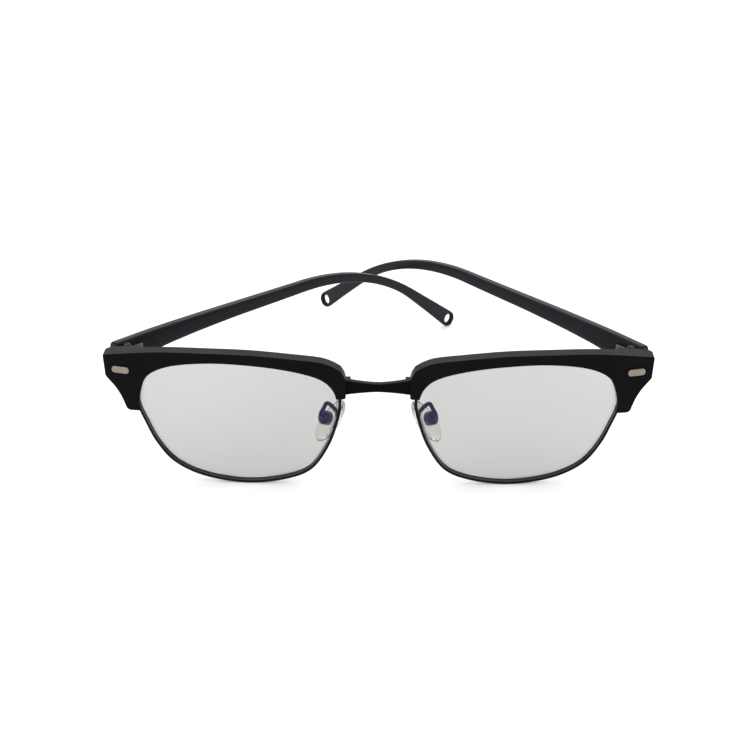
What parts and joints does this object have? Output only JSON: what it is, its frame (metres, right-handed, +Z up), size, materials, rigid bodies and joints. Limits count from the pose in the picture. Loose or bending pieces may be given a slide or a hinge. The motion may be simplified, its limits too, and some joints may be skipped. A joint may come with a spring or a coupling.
{
  "type": "eyeglass_frame",
  "caption": "Browline eyeglass frame in matte black with clear lenses, clear silicone nose pads and folding temples, standing half closed.",
  "frame": {"origin": "middle of the bounding box, on the table it stands on", "axes": "+X to the wearer's left, -Y the way the front faces, +Z up; the temples fold behind the front at +Y"},
  "size_m": [0.1386, 0.1104, 0.0379],
  "materials": {
    "matte_black_plastic": "matte, fine grain",
    "black_enamelled_metal": "satin enamel",
    "violet_black_metal": "glossy, dark violet",
    "champagne_metal": "satin, champagne",
    "grey_hinge_metal": "dull, warm grey",
    "demo_lens": "clear, polished",
    "clear_silicone": "clear, soft gloss"
  },
  "bodies": {
    "front": {"bridge": "black_enamelled_metal", "brow_bar_left": "matte_black_plastic", "brow_bar_right": "matte_black_plastic", "rim_left": "black_enamelled_metal", "rim_right": "black_enamelled_metal", "lens_left": "demo_lens", "lens_right": "demo_lens", "rivet_plate_left": "champagne_metal", "rivet_plate_right": "champagne_metal", "brow_screw_left": "black_enamelled_metal", "brow_screw_right": "black_enamelled_metal", "lock_block_upper_left": "black_enamelled_metal", "lock_block_upper_right": "black_enamelled_metal", "lock_block_lower_left": "black_enamelled_metal", "lock_block_lower_right": "black_enamelled_metal", "lock_screw_left": "grey_hinge_metal", "lock_screw_right": "grey_hinge_metal", "pad_arm_left": "violet_black_metal", "pad_arm_right": "violet_black_metal", "pad_box_left": "violet_black_metal", "pad_box_right": "violet_black_metal", "pad_screw_left": "grey_hinge_metal", "pad_screw_right": "grey_hinge_metal", "hinge_front_left": "grey_hinge_metal", "hinge_front_right": "grey_hinge_metal", "hinge_screw_left": "grey_hinge_metal", "hinge_screw_right": "grey_hinge_metal"},
    "temple_left": {"temple_left": "matte_black_plastic", "hinge_temple_left": "grey_hinge_metal", "core_wire_left": "grey_hinge_metal"},
    "temple_right": {"temple_right": "matte_black_plastic", "hinge_temple_right": "grey_hinge_metal", "core_wire_right": "grey_hinge_metal"},
    "nose_pad_left": {"nose_pad_left": "clear_silicone"},
    "nose_pad_right": {"nose_pad_right": "clear_silicone"}
  },
  "joints": [
    {"name": "temple_right_fold", "type": "hinge", "parent": "front", "child": "temple_right", "pos_m": [-0.0643, -0.04534, 0.03376], "axis": [0.0279, 0.0006, 0.9996], "range_deg": [-45, 42.4]},
    {"name": "temple_left_fold", "type": "hinge", "parent": "front", "child": "temple_left", "pos_m": [0.0643, -0.04534, 0.03376], "axis": [0.0279, 0.0006, 0.9996], "range_deg": [-42.4, 45]},
    {"name": "nose_pad_left_tilt", "type": "hinge", "parent": "front", "child": "nose_pad_left", "pos_m": [0.01383, -0.04719, 0.01636], "axis": [-0.481, -0.8193, -0.3119], "range_deg": [-12, 12]},
    {"name": "nose_pad_right_tilt", "type": "hinge", "parent": "front", "child": "nose_pad_right", "pos_m": [-0.01383, -0.04719, 0.01636], "axis": [0.481, -0.8193, -0.3119], "range_deg": [-12, 12]}
  ],
  "couplings": [
    {"joint": "temple_left_fold", "follows": "temple_right_fold", "ratio": -1}
  ]
}
